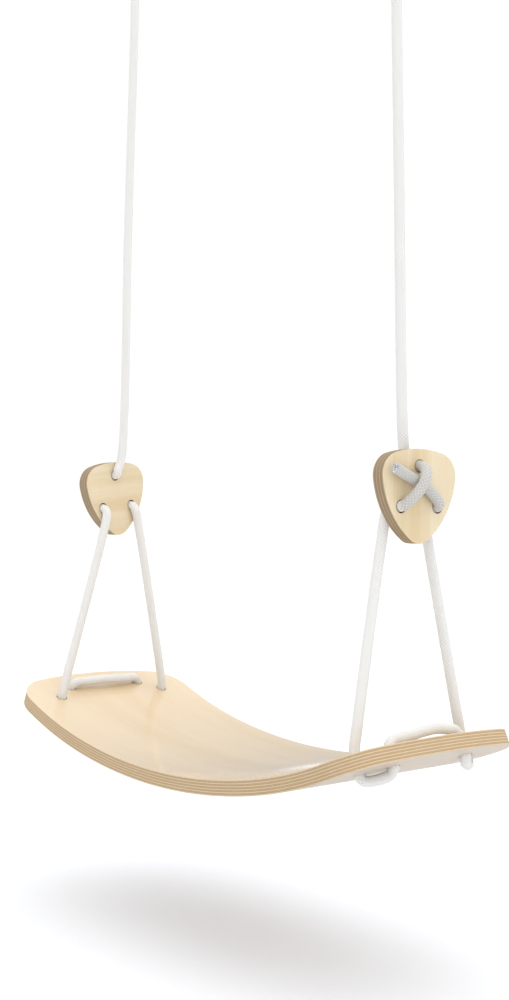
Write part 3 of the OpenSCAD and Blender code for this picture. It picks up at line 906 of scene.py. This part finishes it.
def adjuster_outline():
    reach = (SHOULDER - NOSE).length
    near, far = FLANK_R - SHOULDER_R, FLANK_R - NOSE_R
    along = (near * near - far * far + reach * reach) / (2 * reach)
    way = (NOSE - SHOULDER) / reach
    flank = SHOULDER + along * way + math.sqrt(near * near - along * along) * Vector((way.y, -way.x))
    crown_turn = math.atan2(SHOULDER.y - CROWN.y, SHOULDER.x)
    upper_turn = math.atan2(SHOULDER.y - flank.y, SHOULDER.x - flank.x)
    lower_turn = math.atan2(NOSE.y - flank.y, NOSE.x - flank.x)
    half = (arc(NOSE, NOSE_R, -math.pi / 2, lower_turn, 14)
            + arc(flank, FLANK_R, lower_turn, upper_turn, 14)[1:-1]
            + arc(SHOULDER, SHOULDER_R, upper_turn, crown_turn, 20)
            + arc(CROWN, CROWN_R, crown_turn, math.pi / 2, 12)[1:])
    return half + [(-x, y) for x, y in half[-2:0:-1]]


def make_adjuster(side):
    """The blank's x is across the adjuster, its y is up, and its face looks outwards."""
    stand = Matrix(((0, 0, 1, 0), (1, 0, 0, 0), (0, 1, 0, 0), (0, 0, 0, 1)))
    mirror = Matrix.Diagonal((SIDES[side], 1, 1, 1))
    hang = mirror @ Matrix.Translation((0, 0, -DROP)) @ adjuster_matrix(side) @ stand \
        @ Matrix.Translation((0, 0, ADJUSTER_T / 2))
    rows = [(0, 0), (ADJUSTER_HOLE_Y, -ADJUSTER_ROW), (-ADJUSTER_HOLE_Y, -ADJUSTER_ROW)]
    board = sawn_board(f"{side}_adjuster_plywood", adjuster_outline(), ADJUSTER_T, rows, HOLE_R,
                       ADJUSTER_ROUND)
    log = 0.7 * SIDES[side]
    shape_board(board, [], lambda p: Vector((p.y + log, p.x, -p.z)), lambda p: hang @ p)
    board.data.materials.clear()
    board.data.materials.append(adjuster_birch)
    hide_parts(f"{side}_adjuster")
    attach(board, "adjusters")
    return board


for side in SIDES:
    made = make_adjuster(side)
    print(side, "adjuster:", len(made.data.polygons), "faces,", tuple(round(d, 4) for d in made.dimensions))

# %% [markdown]
# ## Zinc and nylon
# The hooks, links, thimbles and brackets are steel, bright zinc plated. Zinc is never even: it
# dries in pale patches with a faint yellow or blue tone, and it takes fine scratches in use.
# The bushings and spacers are dark nylon, a little grainy from the mould.

# %% Metal and plastic finishes
def bright_zinc(name, thread_pitch=None, thread_from=0.0):
    f = Finish(name)
    place = f.add("ShaderNodeTexCoord")["Object"]
    parts = f.add("ShaderNodeSeparateXYZ", {}, {0: place})
    patches = f.noise(place, 55.0, 3.0, 0.6)
    cloud = f.noise(place, 14.0, 2.0)
    scratches = f.noise(f.vector(parts["X"] * 60.0, parts["Y"] * 60.0, parts["Z"] * 1400.0), 1.0, 2.0)
    grit = f.noise(place, 1800.0, 2.0)
    colour = f.mix(patches, tint(178, 180, 182), tint(206, 207, 208))
    colour = f.mix(f.smooth(cloud, 0.45, 0.75) * 0.5, colour, tint(206, 199, 178))
    rough = 0.30 + patches * 0.16 + f.smooth(scratches, 0.55, 0.8) * 0.15
    height = grit * 0.3 + scratches * 0.25
    if thread_pitch:
        reach = parts["X"].math("ABSOLUTE")
        wave = (reach * (2 * math.pi / thread_pitch)).math("SINE")
        height = height + wave * 8.0 * f.smooth(reach, thread_from, thread_from + 0.0006)
    return f.surface(colour, rough, height, 0.00004, metallic=1.0)


def moulded_nylon(name):
    f = Finish(name)
    place = f.add("ShaderNodeTexCoord")["Object"]
    grain = f.noise(place, 1500.0, 3.0, 0.6)
    cloud = f.noise(place, 60.0, 2.0)
    colour = f.mix(cloud * 0.6 + grain * 0.2, tint(40, 41, 43), tint(62, 63, 65))
    return f.surface(colour, 0.48 + grain * 0.2, grain, 0.00005, specular_ior_level=0.4)


HANG_X, EAR_GAP, PLATE_T = 0.208, 0.021, 0.004
THREAD_FROM = HANG_X + EAR_GAP / 2 + PLATE_T + 0.001
zinc = bright_zinc("bright_zinc")
threaded_zinc = bright_zinc("threaded_zinc", thread_pitch=0.0015, thread_from=THREAD_FROM)
nylon = moulded_nylon("moulded_nylon")
FINISH_OF = {"bracket": zinc, "pivot_bolt": threaded_zinc, "pivot_nut": zinc, "bushing": nylon,
             "spacers": nylon, "link": zinc, "hook": zinc, "gate": zinc, "gate_pin": zinc, "thimble": zinc}
for side in SIDES:
    for part, finish in FINISH_OF.items():
        node = frame["nodes"][f"{side}_{part}"]
        node.data.materials.clear()
        node.data.materials.append(finish)
print("finished solids:", 2 * len(FINISH_OF))

# %% [markdown]
# ## Floor
# A studio floor is a wide white sheet, matt so that it shows no reflection of the swing. It lies
# about 0.18 m under the seat, low enough for the swing to pass over it, so what it catches is only a
# faint soft shadow, and it throws a good deal of light back up at the underside.

# %% Floor
FLOOR_Z = -1.215
FLOOR_HALF = 30.0


def floor_finish():
    f = Finish("pale_floor")
    place = f.add("ShaderNodeTexCoord")["Object"]
    mottle = f.noise(place, 3.0, 2.0)
    return f.surface(f.mix(mottle * 0.2, tint(241, 243, 247), tint(239, 241, 245)), 0.9, mottle, 0.0001,
                     specular_ior_level=0.1)


floor_mesh = bpy.data.meshes.new("floor")
floor_corners = [(x * FLOOR_HALF, y * FLOOR_HALF, FLOOR_Z) for x, y in ((-1, -1), (1, -1), (1, 1), (-1, 1))]
floor_mesh.from_pydata(floor_corners, [], [(0, 1, 2, 3)])
floor = add_object("floor", floor_mesh)
floor.data.materials.append(floor_finish())
floor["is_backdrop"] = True
print("the floor is", round(-FLOOR_Z - DROP, 3), "m under the seat")

# %% [markdown]
# ## A tent of light
# Pale things are lit inside a tent of white cloth, so that light comes from everywhere and no edge
# is hard. The tent here is the sky: brightest overhead and on the right, where the lamps stand
# behind the cloth, and dimmest on the near left, so that round ropes still look round. The
# camera itself sees plain white.

# %% The tent
TENT_CLOTH = 0.75
TENT_TOP = 1.3
TENT_SIDE = 0.32
TENT_DIM = 0.26
TENT_RISE = 3.0
BRIGHT_SIDE = (0.95, -0.12, 0.28)
SEEN_WHITE = 1.05


def build_tent():
    world = bpy.data.worlds.new("studio")
    world.use_nodes = True
    tree = world.node_tree
    tree.nodes.clear()

    def node(kind, sockets=None, operation=None):
        made = tree.nodes.new(kind)
        if operation:
            made.operation = operation
        for name, given in (sockets or {}).items():
            if isinstance(given, bpy.types.NodeSocket):
                tree.links.new(given, made.inputs[name])
            else:
                made.inputs[name].default_value = given
        return made

    way = node("ShaderNodeTexCoord").outputs["Generated"]
    height = node("ShaderNodeSeparateXYZ", {0: way}).outputs["Z"]
    share = node("ShaderNodeMapRange", {0: height}).outputs["Result"]
    high = node("ShaderNodeMath", {0: share, 1: TENT_RISE}, "POWER")
    towards = node("ShaderNodeVectorMath", {0: way, 1: BRIGHT_SIDE}, "DOT_PRODUCT").outputs["Value"]
    top = node("ShaderNodeMapRange", {0: high.outputs[0], 3: TENT_CLOTH, 4: TENT_CLOTH + TENT_TOP})
    side = node("ShaderNodeMapRange", {0: towards, 1: -1.0, 2: 1.0, 3: -TENT_DIM, 4: TENT_SIDE})
    light = node("ShaderNodeMath", {0: top.outputs["Result"], 1: side.outputs["Result"]})
    to_camera = node("ShaderNodeLightPath").outputs["Is Camera Ray"]
    seen = node("ShaderNodeMapRange", {0: to_camera, 3: light.outputs[0], 4: SEEN_WHITE})
    sky = node("ShaderNodeBackground", {"Color": (1, 1, 1, 1), "Strength": seen.outputs["Result"]})
    node("ShaderNodeOutputWorld", {"Surface": sky.outputs[0]})
    bpy.context.scene.world = world


build_tent()
bpy.context.scene.view_settings.view_transform = "Standard"
print("light from", round(TENT_CLOTH, 2), "to", round(TENT_CLOTH + TENT_TOP + TENT_SIDE, 2))

# %% [markdown]
# ## Does it still fit its solids?
# The pieces made here are drawn over the exact solids, so both must fill the same box. The two
# boxes are compared corner by corner and the largest difference is printed; more than a few
# millimetres means that a piece was drawn in the wrong place.

# %% Check the size
boxes = {"frame": [list(map(float, corner)) for corner in frame_box],
         "visual": [list(map(float, corner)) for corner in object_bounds()]}
gaps = [abs(a - b) * 1000 for solid, shown in zip(*boxes.values()) for a, b in zip(solid, shown)]
print("largest difference of the boxes, mm:", round(max(gaps), 2))
